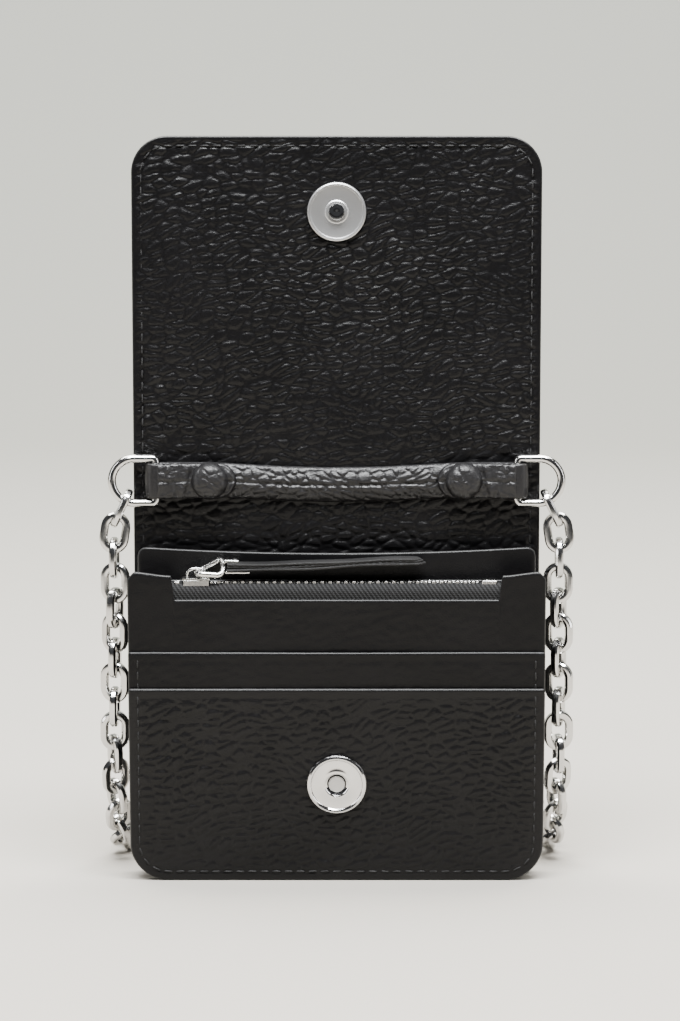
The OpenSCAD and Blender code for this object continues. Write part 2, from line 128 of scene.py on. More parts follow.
# ---------------------------------------------------------------- materials
class Shader:
    """A small helper round one material's nodes"""

    def __init__(self, name):
        self.material = bpy.data.materials.new(name)
        self.material.use_nodes = True
        self.tree = self.material.node_tree
        self.surface = self.tree.nodes["Principled BSDF"]
        self.place = self.node("ShaderNodeTexCoord").outputs["Object"]

    def node(self, kind, **inputs):
        made = self.tree.nodes.new(kind)
        for key, value in inputs.items():
            self.feed(made, key.replace("_", " "), value)
        return made

    def feed(self, node, key, value):
        if isinstance(value, bpy.types.NodeSocket):
            self.tree.links.new(value, node.inputs[key])
        else:
            node.inputs[key].default_value = value

    def scaled(self, scale, turn=(0, 0, 0)):
        made = self.node("ShaderNodeMapping", Vector=self.place, Scale=scale, Rotation=turn)
        return made.outputs["Vector"]

    def noise(self, scale, detail=3.0, vector=None):
        made = self.node("ShaderNodeTexNoise", Vector=vector or self.place, Scale=scale, Detail=detail)
        return made.outputs["Fac"]

    def cells(self, scale, vector=None, feature="DISTANCE_TO_EDGE"):
        made = self.node("ShaderNodeTexVoronoi", Vector=vector or self.place, Scale=scale)
        made.feature = feature
        return made.outputs["Distance"]

    def wave(self, scale, vector=None, direction="X", distortion=0.0):
        made = self.node("ShaderNodeTexWave", Vector=vector or self.place, Scale=scale, Distortion=distortion)
        made.bands_direction = direction
        return made.outputs["Fac"]

    def ramp(self, value, stops):
        made = self.node("ShaderNodeValToRGB", Fac=value)
        ramp = made.color_ramp
        while len(ramp.elements) < len(stops):
            ramp.elements.new(0.5)
        for element, (at, colour) in zip(ramp.elements, stops):
            element.position = at
            element.color = (*colour, 1) if len(colour) == 3 else colour
        return made.outputs["Color"]

    def spread(self, value, low, high):
        made = self.node("ShaderNodeMapRange", Value=value)
        made.inputs["To Min"].default_value = low
        made.inputs["To Max"].default_value = high
        return made.outputs["Result"]

    def bump(self, height, strength, distance, normal=None):
        made = self.node("ShaderNodeBump", Height=height, Strength=strength, Distance=distance)
        if normal is not None:
            self.feed(made, "Normal", normal)
        return made.outputs["Normal"]

    def finish(self, **sockets):
        for key, value in sockets.items():
            self.feed(self.surface, key.replace("_", " "), value)
        return self.material


def leather(name, dark, light, rough, pore=1500.0, strength=0.35, shine=0.22):
    s = Shader(name)
    flat = s.scaled((0.6, 1, 1))
    pores = s.cells(pore, flat)
    fine = s.noise(4200.0, 4.0)
    broad = s.noise(60.0, 2.0)
    tone = s.ramp(broad, [(0.3, dark), (0.75, light)])
    coarse = s.bump(pores, strength, 0.0002)
    normal = s.bump(fine, strength * 0.8, 0.00006, coarse)
    return s.finish(Base_Color=tone, Roughness=s.spread(fine, rough - 0.07, rough + 0.1),
                    Normal=normal, Specular_IOR_Level=shine)


def painted_edge(name, colour):
    s = Shader(name)
    fine = s.noise(900.0, 4.0, s.scaled((0.3, 1, 1)))
    tone = s.ramp(fine, [(0.3, tuple(c * 0.7 for c in colour)), (0.8, tuple(c * 1.4 for c in colour))])
    return s.finish(Base_Color=tone, Roughness=s.spread(fine, 0.3, 0.5), Normal=s.bump(fine, 0.4, 0.00008),
                    Specular_IOR_Level=0.25)


def metal(name, colour, rough, scratch=0.1, stretch=(1, 1, 1)):
    s = Shader(name)
    marks = s.noise(1300.0, 5.0, s.scaled(stretch))
    broad = s.noise(150.0, 2.0)
    tone = s.ramp(broad, [(0.25, tuple(c * 0.93 for c in colour)), (0.75, colour)])
    return s.finish(Base_Color=tone, Metallic=1.0, Roughness=s.spread(marks, rough * 0.7, rough * 1.4),
                    Normal=s.bump(marks, scratch, 0.00002))


def woven(name, dark, light):
    s = Shader(name)
    across = s.wave(330.0, s.scaled((1, 1, 1), (0, math.radians(35), 0)), "X")
    along = s.wave(600.0, None, "Z")
    tone = s.ramp(across, [(0.2, dark), (0.8, light)])
    normal = s.bump(along, 0.4, 0.0001, s.bump(across, 0.7, 0.00015))
    return s.finish(Base_Color=tone, Roughness=0.85, Normal=normal, Specular_IOR_Level=0.25)


def thread(name, colour):
    s = Shader(name)
    twist = s.wave(1400.0, s.scaled((1, 1, 1), (0, math.radians(40), 0)), "DIAGONAL")
    tone = s.ramp(twist, [(0.2, tuple(c * 0.5 for c in colour)), (0.9, colour)])
    normal = s.bump(twist, 0.6, 0.0001)
    return s.finish(Base_Color=tone, Roughness=0.65, Normal=normal, Specular_IOR_Level=0.3)


def backdrop():
    s = Shader("pale_paper_with_painted_shade")
    fine = s.noise(3.0, 4.0)
    back = s.node("ShaderNodeSeparateXYZ", Vector=s.place).outputs["Y"]
    reach = s.node("ShaderNodeMapRange", Value=back)
    reach.inputs["From Min"].default_value = -1.0
    reach.inputs["From Max"].default_value = 1.7
    # The floor far in front, out of view, is painted near black (dark): painted shade for the unlit studio in
    # front, which the leather and the metal reflect.
    dark, near, wall = (0.012, 0.012, 0.012), (0.33, 0.305, 0.27), (0.31, 0.32, 0.295)
    tone = s.ramp(reach.outputs["Result"], [(0.2, dark), (0.25, near), (1.0, wall)])
    return s.finish(Base_Color=tone, Roughness=s.spread(fine, 0.85, 0.95))


FIBRE = leather("cut_leather", (0.004, 0.004, 0.004), (0.016, 0.0155, 0.0155), 0.6, 2600.0, 0.9)
LEATHER = leather("leather_grain", (0.0018, 0.0017, 0.0019), (0.0032, 0.003, 0.0033), 0.33, shine=0.19)
SMOOTH = leather("leather_fine", (0.0017, 0.0016, 0.0018), (0.003, 0.0028, 0.0031), 0.4, 1900.0, 0.4, 0.15)
# The strap's leather is the case's black leather with a lighter base colour: painted light for the extra
# light the strap catches from above.
STRAP = leather("leather_strap", (0.006, 0.0057, 0.006), (0.01, 0.0097, 0.0103), 0.36, 1500.0, 0.5, 0.33)
EDGE = painted_edge("edge_paint", (0.008, 0.008, 0.008))
# A lighter copy of the edge paint for the rims of the divider and the front panels: a painted highlight
# standing for the light their top edges catch.
RIM = painted_edge("edge_paint_painted_highlight", (0.01, 0.01, 0.01))
THREAD = thread("black_thread", (0.008, 0.0078, 0.008))
TAPE = woven("zip_tape", (0.002, 0.002, 0.002), (0.014, 0.014, 0.0145))
ZIP = metal("zip_metal", (0.66, 0.655, 0.64), 0.2, 0.15)
POLISHED = metal("snap_polished", (0.64, 0.635, 0.63), 0.09, 0.04)
SATIN = metal("snap_satin", (0.5, 0.5, 0.5), 0.38, 0.2, (1, 1, 12))
RING = metal("ring_metal", (0.62, 0.615, 0.6), 0.12, 0.06)
MAGNET = metal("magnet_plating", (0.25, 0.25, 0.26), 0.5, 0.3)
CHAIN = metal("chain_metal", (0.6, 0.595, 0.58), 0.14, 0.08)


# ---------------------------------------------------------------- mesh building
def turned_out(points, faces):
    """The faces, all turned over if the shape's volume comes out negative"""
    points = np.asarray(points, float)
    volume = 0.0
    for sides in sorted({len(f) for f in faces}):
        group = np.array([f for f in faces if len(f) == sides])
        corner = points[group]
        for k in range(1, sides - 1):
            volume += np.einsum("ij,ij->i", corner[:, 0], np.cross(corner[:, k], corner[:, k + 1])).sum()
    return faces if volume > 0 else [f[::-1] for f in faces]


def add_piece(name, points, faces, materials, face_material=None, sharp=None):
    faces = turned_out(points, [list(f) for f in faces])
    mesh = bpy.data.meshes.new(name)
    mesh.from_pydata((np.asarray(points) * MM).tolist(), [], [list(map(int, f)) for f in faces])
    for material in materials:
        mesh.materials.append(material)
    mesh.polygons.foreach_set("use_smooth", [True] * len(mesh.polygons))
    if face_material is not None:
        mesh.polygons.foreach_set("material_index", np.asarray(face_material, np.int32))
    if sharp:
        mesh.set_sharp_from_angle(angle=math.radians(sharp))
    mesh.update()
    obj = bpy.data.objects.new(name, mesh)
    bpy.context.scene.collection.objects.link(obj)
    return obj


def joined(shapes):
    """Several (points, faces) as one"""
    points, faces, start = [], [], 0
    for p, f in shapes:
        points.append(np.asarray(p, float))
        faces += [[i + start for i in face] for face in f]
        start += len(p)
    return np.concatenate(points), faces


def solid(name, body, nodes, material, shapes, sharp=None):
    """One piece of one material, made of closed shapes, that rides one body"""
    obj = add_piece(name, *joined(shapes), [material], sharp=sharp)
    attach(obj, body)
    if nodes:
        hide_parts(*nodes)
    return obj


def unit(v):
    return v / np.maximum(np.linalg.norm(v, axis=-1, keepdims=True), 1e-12)


def smooth(t):
    t = np.clip(t, 0, 1)
    return t * t * (3 - 2 * t)


def grid_quads(rows, cols, wrap_rows=False, wrap_cols=False):
    r = np.arange(rows if wrap_rows else rows - 1)
    c = np.arange(cols if wrap_cols else cols - 1)
    r, c = np.meshgrid(r, c, indexing="ij")
    r2, c2 = (r + 1) % rows, (c + 1) % cols
    return np.stack([r * cols + c, r * cols + c2, r2 * cols + c2, r2 * cols + c], -1).reshape(-1, 4)


def frames(path, up, closed=False):
    """Tangents and two normals along a path, turned as little as possible"""
    n = len(path)
    ahead = np.roll(path, -1, 0) if closed else path[np.minimum(np.arange(n) + 1, n - 1)]
    behind = np.roll(path, 1, 0) if closed else path[np.maximum(np.arange(n) - 1, 0)]
    tangent = unit(ahead - behind)
    first = np.zeros_like(path)
    v = np.asarray(up, float)
    for i in range(n):
        v = unit(v - tangent[i] * (v @ tangent[i]))
        first[i] = v
    return tangent, first, np.cross(tangent, first)


def sweep(path, section, up, closed=False, scale=None):
    """Carries a closed section (pairs along the two normals) along a path"""
    path, section = np.asarray(path, float), np.asarray(section, float)
    _, a, b = frames(path, up, closed)
    size = np.ones(len(path)) if scale is None else np.asarray(scale, float)
    points = (path[:, None] + size[:, None, None] * (section[None, :, :1] * a[:, None]
              + section[None, :, 1:] * b[:, None])).reshape(-1, 3)
    m = len(section)
    faces = grid_quads(len(path), m, closed, True).tolist()
    if not closed:
        faces.append(list(range(m - 1, -1, -1)))
        faces.append(list(range(len(points) - m, len(points))))
    return points, faces


def circle(r, n=12):
    a = np.arange(n) * 2 * math.pi / n
    return np.stack([r * np.cos(a), r * np.sin(a)], -1)


def revolve(profile, n=48):
    """Turns (radius, height) pairs about Z; both ends close on the axis if their radius is 0"""
    profile = np.asarray(profile, float)
    a = np.arange(n) * 2 * math.pi / n
    ring = np.stack([np.cos(a), np.sin(a), np.zeros(n)], -1)
    points = profile[:, None, :1] * ring[None] + np.array([0, 0, 1.0]) * profile[:, None, 1:]
    faces = grid_quads(len(profile), n, False, True)
    return points.reshape(-1, 3), faces.tolist()


def stand(points, centre, lean=0.0):
    """Turns a shape made about Z so that its axis points to the front, leaning forwards"""
    x, y, z = np.asarray(points).T
    a = math.radians(lean)
    turned = np.stack([x, -y * math.sin(a) - z * math.cos(a), y * math.cos(a) - z * math.sin(a)], -1)
    return turned + centre


def rounded_rect(w, h, r, n=3):
    """The corners' points of a rectangle with round corners, counter-clockwise"""
    a = np.linspace(0, math.pi / 2, n + 1)
    points = []
    for k, (sx, sy) in enumerate(((1, 1), (-1, 1), (-1, -1), (1, -1))):
        turn = a + k * math.pi / 2
        px = sx * (w / 2 - r) + r * np.cos(turn)
        py = sy * (h / 2 - r) + r * np.sin(turn)
        points.append(np.stack([px, py], -1))
    return np.concatenate(points)


def block(centre, size, bevel):
    """A box with bevelled edges"""
    w, d, h = size
    cut = bevel * 0.7
    outer = rounded_rect(w, d, bevel)
    inner = rounded_rect(w - 2 * cut, d - 2 * cut, bevel * 0.5)
    rows = [(inner, -h / 2), (outer, cut - h / 2), (outer, h / 2 - cut), (inner, h / 2)]
    points = np.concatenate([np.column_stack([p, np.full(len(p), z)]) for p, z in rows])
    m = len(outer)
    faces = grid_quads(4, m, False, True).tolist()
    faces.append(list(range(m - 1, -1, -1)))
    faces.append(list(range(3 * m, 4 * m)))
    return points + np.asarray(centre, float), faces


# ---------------------------------------------------------------- chain
LINK_LEN = 11.7
LINK_W = 8.3
LINK_WIRE = 2.4
CHAIN_D = 7.5
PITCH = LINK_LEN - 2 * LINK_WIRE
HANK_HALF = 37.5
HANK_Y = 56
HANK_BEND = 12.5
ROUTE = [[60.4, 0.6, 84], [60.6, 0.8, 72], [60.8, 1.4, 58], [61, 2.6, 44], [61.2, 5.4, 30],
         [61, 10.6, 17.6], [60.6, 18, 8.6], [59.8, 27, 4.4], [58.6, 36, 3.8], [56.6, 46, 3.8],
         [53.8, 56, 3.8]]
TURNS = 3.5
HOOK_TILT = math.radians(25)


def oval(r, t):
    """A point on a long oval with round ends, t turns clockwise from its left end"""
    ends = math.pi * r
    straight = 2 * HANK_HALF
    s = (t % 1) * 2 * (ends + straight) + ends / 2
    half, s = divmod(s, ends + straight)
    sign = 1 if int(half) % 2 == 0 else -1
    if s < ends:
        a = math.pi * 1.5 - s / r
        x, y = -HANK_HALF + r * math.cos(a), r * math.sin(a)
    else:
        x, y = s - ends - HANK_HALF, r
    return sign * x, sign * y


def hank_points():
    """The spare chain's turns, clockwise seen from above, two wide and two high"""
    inner, outer = HANK_BEND - CHAIN_D / 2, HANK_BEND + CHAIN_D / 2
    low, high = CHAIN_D / 2, CHAIN_D * 1.5
    made = []
    for i in range(1, int(TURNS * 24)):
        t = i / 24
        step_in = smooth((t - 0.76) / 0.2)
        step_up = smooth((t - 1.62) / 0.2)
        step_out = smooth((t - 2.47) / 0.2)
        x, y = oval(outer + (inner - outer) * (step_in - step_out), t)
        made.append([x, HANK_Y + y, low + (high - low) * step_up])
    return made


def spline(points, steps=None, step=None):
    """A smooth line through points, in a given number of steps or an even number of about a given length"""
    p = np.asarray(points, float)
    p = np.concatenate([[2 * p[0] - p[1]], p, [2 * p[-1] - p[-2]]])
    t = np.linspace(0, 1, 24, endpoint=False)[:, None]
    out = []
    for a, b, c, d in zip(p, p[1:], p[2:], p[3:]):
        out.append(0.5 * (2 * b + (c - a) * t + (2 * a - 5 * b + 4 * c - d) * t**2
                          + (3 * b - a - 3 * c + d) * t**3))
    line = np.concatenate(out + [p[-2:-1]])
    along = np.concatenate([[0], np.cumsum(np.linalg.norm(np.diff(line, axis=0), axis=1))])
    steps = steps or 2 * round(along[-1] / step / 2)
    at = np.linspace(0, along[-1], steps + 1)
    return np.stack([np.interp(at, along, line[:, k]) for k in range(3)], -1)


def chain_path():
    top = (link_low + link_high) / 2
    side = [list(top), [60.4, 0.64, 95.4], [60.6, 0.6, 89.4]] + ROUTE
    left = [[-x, y, z] for x, y, z in side]
    # the lead away leaves from the top of the hank and comes down to the ground
    right = [[x, y, z + CHAIN_D * smooth((y - 30) / 26)] for x, y, z in side]
    return spline(left + hank_points() + right[::-1], step=PITCH)


def link_shape(straight=LINK_LEN - LINK_W, wire=LINK_WIRE, width=LINK_W, steps=11):
    """An oval link with flat cut sides, along its first axis; its plane is the first two axes"""
    r = wire / 2
    section = circle(1.0, 14)
    section = np.clip(section, (-1, -0.88), (0.92, 0.88)) * r
    bend = width / 2 - r
    path = []
    for end in (1, -1):
        for k in range(steps + 1):
            a = math.pi * (k / steps - 0.5) + (0 if end > 0 else math.pi)
            path.append([end * straight / 2 + bend * math.cos(a), bend * math.sin(a), 0])
    path = np.array(path)
    centre = np.clip(path[:, :1], -straight / 2, straight / 2) * [[1, 0, 0]]
    path[:, 1] *= 0.95 + 0.05 * np.cos(path[:, 0] / (straight / 2 + bend) * math.pi / 2)
    out = unit(path - centre)
    points = (path[:, None] + section[None, :, :1] * out[:, None]
              + section[None, :, 1:] * np.array([0, 0, 1.0])).reshape(-1, 3)
    return points, grid_quads(len(path), len(section), True, True)[:, ::-1].tolist()


def placed_link(shape, centre, tangent, side, turn):
    across = math.cos(turn) * side + math.sin(turn) * np.cross(tangent, side)
    points = shape[0] @ np.stack([tangent, across, np.cross(tangent, across)])
    return points + centre, shape[1]


def chain():
    path = chain_path()
    tangent, side, other = frames(path, (1, 0, 0))
    # the last link lies as the first does, so what the line twists by on its way is taken back along it
    twist = math.atan2(other[-1] @ (1, 0, 0), side[-1] @ (1, 0, 0))
    # the joining links hang square to their rings' wire
    tangent[0] = [-math.sin(HOOK_TILT), 0, -math.cos(HOOK_TILT)]
    tangent[-1] = [-math.sin(HOOK_TILT), 0, math.cos(HOOK_TILT)]
    for end in (0, -1):
        side[end] = unit(side[end] - tangent[end] * (side[end] @ tangent[end]))
    shape = link_shape()
    links = []
    for i in range(len(path)):
        near_end = min(i, len(path) - 1 - i)
        loose = (0.5 * math.sin(i * 0.37) + rng.uniform(-0.15, 0.15)) * smooth((near_end - 1) / 3)
        turn = math.pi / 2 * ((i - 1) % 2) + loose + twist * i / (len(path) - 1)
        links.append(placed_link(shape, path[i], tangent[i], side[i], turn))
    last = len(links) - 1
    for name, group in (("left", links[1:2]), ("right", links[last - 1:last])):
        solid("top_link_" + name, "ring_" + name, [], CHAIN, group, 30)
    for name, group in (("left", links[:1]), ("right", links[last:])):
        solid("joining_" + name, "ring_" + name, ["joining_link_" + name], CHAIN, group, 30)
    obj = add_piece("chain", *joined(links[2:last - 1]), [CHAIN], sharp=30)
    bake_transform(obj)
    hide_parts("chain_run_left", "chain_run_right", "chain_hank")
    path = path[2:-2]
    length = np.linalg.norm(np.diff(path, axis=0), axis=1).sum()
    tie()


def tie():
    low, high = box("chain_tie")
    t = 0.8
    mid = (low + high) / 2
    size = high - low
    path = rounded_rect(size[1] - t, size[2] - t, 3, 6)
    path = np.column_stack([np.full(len(path), mid[0]), path[:, 0] + mid[1], path[:, 1] + mid[2]])
    strap_shape = sweep(path, rounded_rect(size[0], t, 0.3), (1, 0, 0), closed=True)
    return solid("tie", "wallet", ["chain_tie"], STRAP, [strap_shape], 40)


# ---------------------------------------------------------------- leather panels
class Pebbles:
    """Leather's pebble grain: rounded cells, long across and rising a little to the right"""

    def __init__(self, size, seed, rise=12.0):
        self.size = size
        self.rise = math.radians(rise)
        self.shift = np.random.default_rng(seed).uniform(-0.1, 1.1, (64, 64, 2))

    def __call__(self, x, z):
        bent = x + 1.6 * np.sin(z / 5.1 + 0.7) + 0.8 * np.sin(z / 2.3 + x / 9)
        bowed = z + 1.3 * np.sin(x / 8.3 + z / 21) + 0.6 * np.sin(x / 3.1 + z / 7)
        u = (bent * math.cos(self.rise) + bowed * math.sin(self.rise)) / self.size[0]
        v = (bowed * math.cos(self.rise) - bent * math.sin(self.rise)) / self.size[1]
        cell_u, cell_v = np.floor(u).astype(int), np.floor(v).astype(int)
        nearest = np.full(np.shape(u), 9.0)
        second = np.full(np.shape(u), 9.0)
        for i in (-1, 0, 1):
            for j in (-1, 0, 1):
                shift = self.shift[(cell_u + i) % 64, (cell_v + j) % 64]
                away = np.hypot(cell_u + i + shift[..., 0] - u, cell_v + j + shift[..., 1] - v)
                second = np.minimum(second, np.maximum(nearest, away))
                nearest = np.minimum(nearest, away)
        return smooth((second - nearest) / 0.3) * (1 - 0.55 * np.minimum(nearest, 1) ** 2)


COARSE = Pebbles((4.3, 2.25), 11)
FINE = Pebbles((1.5, 0.95), 12, 5)
ROUND = Pebbles((2.7, 2.1), 13, 0)


def grained(depth, coarse=COARSE, fade=(0.3, 2.2), waves=0.25):
    """A height for a leather face: pebbles that run out towards the rim, on a softly waved ground"""
    def height(x, z, rim):
        calm = smooth((rim - fade[0]) / (fade[1] - fade[0]))
        patch = 0.8 + 0.2 * np.sin(x / 17 + 1.3) * np.cos(z / 13)
        ground = waves * (np.sin(x / 23 + 0.6) * np.cos(z / 19 + 0.4) + 0.4 * np.sin(x / 11 + z / 14))
        pebbles = depth * patch * (coarse(x, z) - 0.75) + 0.16 * depth * FINE(x, z)
        return calm * (pebbles + ground)
    return height


def plain(x, z, rim):
    return 0 * x


def rim_distance(x, z, half, span, radii):
    """How far inside a rectangle with round corners a point is"""
    mid, tall = (span[0] + span[1]) / 2, (span[1] - span[0]) / 2
    r = np.where(z < mid, radii[0], radii[1])
    qx = np.abs(x) - (half - r)
    qz = np.abs(z - mid) - (tall - r)
    return r - np.hypot(np.maximum(qx, 0), np.maximum(qz, 0)) - np.minimum(np.maximum(qx, qz), 0)


def panel_grid(half, span, radii, edge, step, columns):
    low, high = span[0] + edge, span[1] - edge
    rows = []
    for r in radii:
        r = max(r - edge, 0)
        a = np.linspace(0, math.pi / 2, int(r / step * 1.4) + 1)[:-1]
        rows.append((r, r * (1 - np.cos(a))))
    (r0, up), (r1, down) = rows
    middle = np.linspace(low + r0, high - r1, max(3, int((high - low - r0 - r1) / step) + 1))
    z = np.concatenate([low + up, middle, (high - down)[::-1]])
    wide = np.full(len(z), half - edge)
    for r, away in ((r0, z - low), (r1, high - z)):
        inside = away < r
        wide[inside] -= r - np.sqrt(np.maximum(r**2 - (r - away[inside]) ** 2, 0))
    u = np.linspace(-1, 1, int(2 * half / step) + 1) if columns is None else columns
    x = wide[:, None] * u[None]
    return x, z[:, None] + 0 * x


def stitch_line(line, place, depth, pitch=3.3):
    """Short stitches along a line of (x, z) on a panel"""
    line = np.asarray(line, float)
    along = np.concatenate([[0], np.cumsum(np.linalg.norm(np.diff(line, axis=0), axis=1))])
    at = np.arange(pitch, along[-1] - pitch / 2, pitch)
    centre = np.stack([np.interp(at, along, line[:, k]) for k in (0, 1)], -1)
    ahead = np.stack([np.interp(at + 0.2, along, line[:, k]) for k in (0, 1)], -1)
    tangent = unit(ahead - centre)
    across = np.stack([-tangent[:, 1], tangent[:, 0]], -1)
    long, thick = np.array([-1.15, -0.8, 0.8, 1.15]), np.array([0.1, 0.26, 0.26, 0.1])
    a = np.arange(6) * math.pi / 3
    t = np.repeat(long, 6)
    n = (thick[:, None] * np.cos(a)).ravel()
    lift = (thick[:, None] * np.sin(a)).ravel() + depth - 0.05
    points = (centre[:, None] + tangent[:, None] * t[None, :, None] + across[:, None] * n[None, :, None])
    points = place(points[..., 0], points[..., 1], lift[None] + 0 * points[..., 0])
    one = grid_quads(4, 6, False, True).tolist() + [[5, 4, 3, 2, 1, 0], [18, 19, 20, 21, 22, 23]]
    faces = [[i + 24 * k for i in f] for k in range(len(at)) for f in one]
    return points.reshape(-1, 3), faces


def seam(half, span, r, inset=2.6, upward=False):
    """The line of stitches inside two sides and a round end"""
    w, low = half - inset, span[0] + inset
    r = max(r - inset, 0.5)
    a = np.linspace(math.pi, math.pi * 1.5, 9)
    left = np.stack([r - w + r * np.cos(a), low + r + r * np.sin(a)], -1)
    line = np.concatenate([[[-w, span[1]]], left, (left * (-1, 1))[::-1], [[w, span[1]]]])
    return line * (1, -1) + (0, span[0] + span[1]) if upward else line


def panel(name, body, nodes, slot, half, span, place, thick, front=plain, back=plain, radii=(0, 0), step=0.5,
          columns=None, skins=None, seams=(), grain_span=None):
    """A closed leather sheet with two faces, a round painted rim and stitches"""
    edge = min(0.4, thick * 0.35)
    skins = skins or [LEATHER, EDGE, THREAD]
    x, z = panel_grid(half, span, radii, edge, step, columns)
    rim = rim_distance(x, z, half, grain_span or span, radii)
    groove = 0.12 * np.exp(-(((rim - 2.6) / 0.5) ** 2)) if seams else 0
    top = thick + front(x, z, rim) - groove
    low = -back(x, z, rim)
    rows, cols = x.shape
    quads = grid_quads(rows, cols)
    index = np.arange(rows * cols).reshape(rows, cols)
    around = np.concatenate([index[0, :-1], index[:-1, -1], index[-1, :0:-1], index[:0:-1, 0]])
    px, pz = x.ravel()[around], z.ravel()[around]
    out = unit(np.stack([np.roll(pz, -1) - np.roll(pz, 1), np.roll(px, 1) - np.roll(px, -1)], -1))
    points = [place(x, z, top).reshape(-1, 3), place(x, z, low).reshape(-1, 3)]
    faces = [quads, quads[:, ::-1] + rows * cols]
    ring = around
    count = len(around)
    start = 2 * rows * cols
    for k in (1, 2, 3, 4):
        t = k / 4
        if k < 4:
            swell = edge * math.sin(math.pi * t)
            depth = top.ravel()[around] * (1 - t) + low.ravel()[around] * t
            points.append(place(px + out[:, 0] * swell, pz + out[:, 1] * swell, depth))
            following = np.arange(count) + start
            start += count
        else:
            following = around + rows * cols
        faces.append(np.stack([ring, following, np.roll(following, -1), np.roll(ring, -1)], -1))
        ring = following
    material = np.concatenate([np.full(len(f), min(i, 2) // 2) for i, f in enumerate(faces)])
    points = np.concatenate(points)
    faces = [f.tolist() for block_faces in faces for f in block_faces]
    for line in seams:
        more, more_faces = stitch_line(line, place, thick)
        faces += [[i + len(points) for i in f] for f in more_faces]
        points = np.concatenate([points, more])
        material = np.concatenate([material, np.full(len(more_faces), 2)])
    obj = add_piece(name, points, faces, skins, material)
    if body is not None:
        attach(obj, body)
    if nodes:
        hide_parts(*nodes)
    return obj


def upright(back_face):
    """Puts a panel's points upright, its back at one depth"""
    return lambda x, z, d: np.stack([x, back_face - d, z + 0 * x], -1)


def leaned(back_face, lean, wave=None):
    """The same, leaning forwards about its back edge on the base"""
    c, s = math.cos(math.radians(lean)), math.sin(math.radians(lean))

    def place(x, z, d):
        if wave is not None:
            x, z, d = wave(x, z, d)
        return np.stack([x, back_face - d * c - z * s, z * c - d * s], -1)
    return place


def skins_of_the_case():
    """Outer leather and lining, each in a lower piece up to mid spine and an upper piece over it"""
    overlap = 0.42
    lower = (0, SEAM_Z + overlap)
    upper = (SEAM_Z - overlap, FLAP_TOP)
    outer_t, lining_t = OUTER_Y - MID_Y, MID_Y - INNER_Y
    lower_grain = (lower[0], lower[1] + 20)
    upper_grain = (upper[0] - 20, upper[1])
    outer = dict(body=None, nodes=[], slot="leather_outer", half=FLAP_HALF, thick=outer_t,
                 back=grained(0.42), place=upright(OUTER_Y), step=0.5)
    inside = dict(body=None, nodes=[], slot="leather_lining", half=FLAP_HALF, thick=lining_t,
                  front=grained(0.46, waves=0.3), place=upright(MID_Y), step=0.42)
    case = panel("case_lower", span=lower, radii=(CORNER_R, 0), grain_span=lower_grain, **outer)
    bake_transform(case)
    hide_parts("back_panel_outer")
    cover = panel("case_upper", span=upper, radii=(0, CORNER_R), grain_span=upper_grain, **outer)
    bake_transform(cover)
    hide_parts("spine_outer", "flap_outer")
    line = seam(FLAP_HALF, lower, CORNER_R)
    lining = panel("lining_lower", span=lower, radii=(CORNER_R, 0), seams=[line], grain_span=lower_grain,
                   **inside)
    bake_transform(lining)
    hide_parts("back_panel_lining")
    line = seam(FLAP_HALF, upper, CORNER_R, upward=True)
    lining = panel("lining_upper", span=upper, radii=(0, CORNER_R), seams=[line], grain_span=upper_grain,
                   **inside)
    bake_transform(lining)
    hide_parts("spine_lining", "flap_lining")


def gusset():
    """One strip down a side, under the base and up the other side, creased a little inwards"""
    high = box("gusset_strip")[1]
    half, top = high[0], high[2]
    deep = 5
    lean = math.tan(math.radians(FRONT_LEAN))
    r = CORNER_R
    side, flat = top - r, 2 * (half - r)
    bend = math.pi / 2 * r
    length = 2 * (side + bend) + flat

    def place(x, z, d):
        s = z + 0 * x
        mirror = np.where(s > length / 2, 1, -1)
        s = np.minimum(s, length - s)
        a = np.clip((s - side) / r, 0, math.pi / 2)
        px = half - r + r * np.cos(a)
        pz = np.where(s < side, top - s, r - r * np.sin(a))
        px = np.where(s > side + bend, half - r - (s - side - bend), px)
        nx, nz = np.cos(a), -np.sin(a)
        front = INNER_Y + WALL_BACK - pz * lean
        y = INNER_Y + (front - INNER_Y) * (x / deep + 1) / 2
        fold = 1.5 * smooth(pz / 50) * (1 - np.abs(x / deep)) ** 1.3
        inward = d - GUSSET_T - fold
        return np.stack([mirror * (px + nx * inward), y, pz + nz * inward], -1)
    columns = np.linspace(-1, 1, 25)
    panel("gusset", "wallet", ["gusset_strip"], "leather_smooth", deep, (0, length), place, GUSSET_T,
          front=grained(0.12, FINE, (0, 0.5), 0), step=0.8, columns=columns, skins=[SMOOTH, EDGE])


